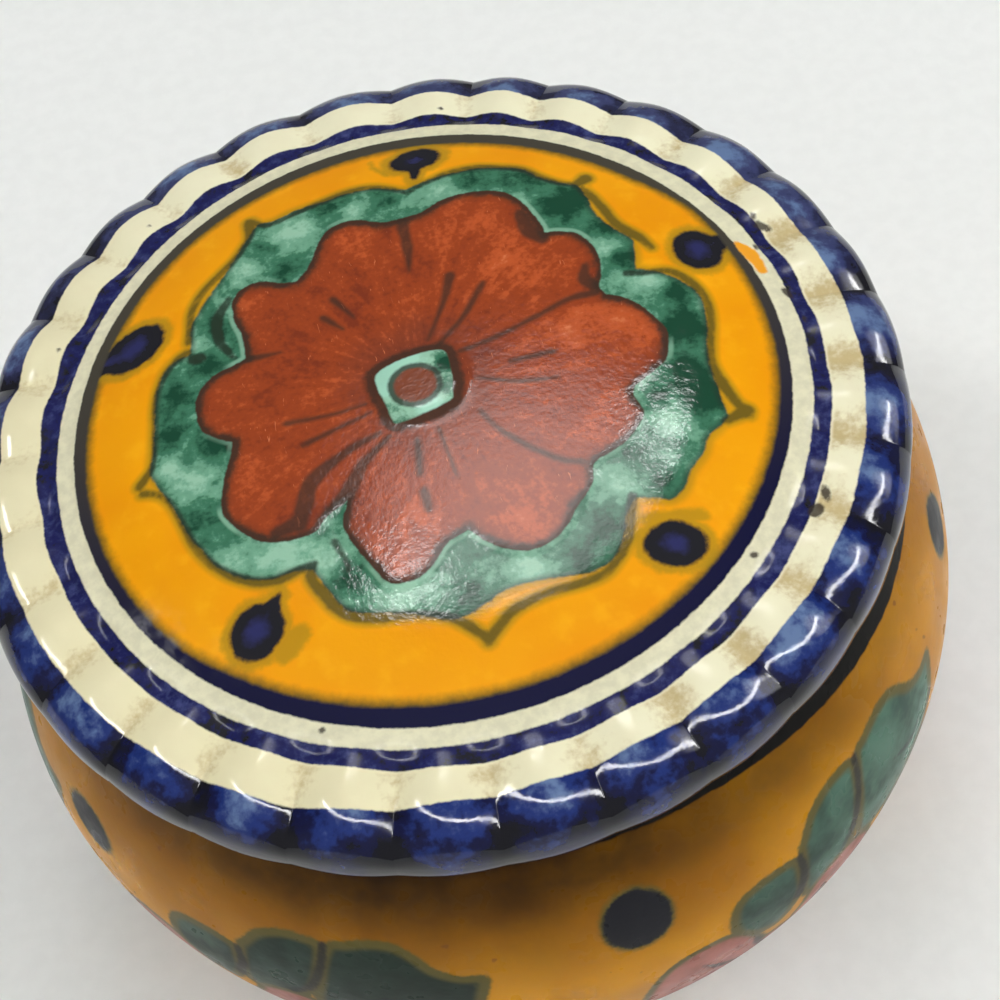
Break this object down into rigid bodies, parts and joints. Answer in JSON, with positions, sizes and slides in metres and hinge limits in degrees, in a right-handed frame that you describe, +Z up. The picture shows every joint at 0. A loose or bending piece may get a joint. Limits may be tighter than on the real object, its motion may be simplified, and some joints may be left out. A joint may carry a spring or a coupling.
{
  "type": "trinket box",
  "caption": "Round bellied trinket box on a foot ring, with a loose, gently domed, fluted lid that lifts off; glazed earthenware with a hand-painted flower pattern.",
  "frame": {"origin": "middle of the foot ring's underside, on the table, on the bowl's axis", "axes": "+Z up along the bowl's axis, -Y towards the side that the picture is taken from, +X to that side's right"},
  "size_m": [0.1214, 0.1214, 0.0779],
  "materials": {
    "bowl_glaze": "gloss",
    "lid_glaze": "gloss"
  },
  "bodies": {
    "bowl": {"bowl": "bowl_glaze"},
    "lid": {"lid": "lid_glaze"}
  },
  "joints": [
    {"name": "lid_lift", "type": "slide", "parent": "bowl", "child": "lid", "axis": [0, 0, 1], "range_m": [0, 0.06]}
  ]
}
